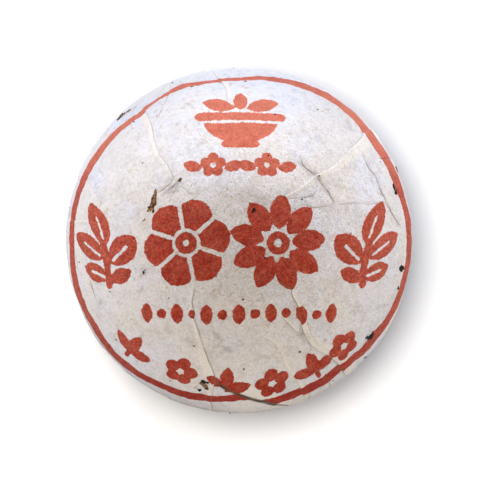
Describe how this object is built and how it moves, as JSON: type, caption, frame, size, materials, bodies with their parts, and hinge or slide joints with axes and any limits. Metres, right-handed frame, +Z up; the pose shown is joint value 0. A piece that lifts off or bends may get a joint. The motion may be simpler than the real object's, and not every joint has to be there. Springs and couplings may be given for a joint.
{
  "type": "paper-wrapped tuocha",
  "caption": "Dome of pressed tea shut in one sheet of handmade paper, gathered into folds round the rim and twisted into a short tail inside the hollow underneath",
  "frame": {"origin": "centre of the flat ring that the pack rests on, straight below the crown of the dome", "axes": "+Z is up along the dome's axis, away from the surface it rests on; +Y points to the top of the print on the dome; +X points to the right of the print"},
  "size_m": [0.0845, 0.0843, 0.0451],
  "materials": {
    "wrapping_paper": "uncoated handmade bark paper, off-white with fine fibres and brown flecks, printed in one matt brick-red ink"
  },
  "bodies": {
    "root": {"wrapped_tuocha": "wrapping_paper"}
  },
  "joints": []
}
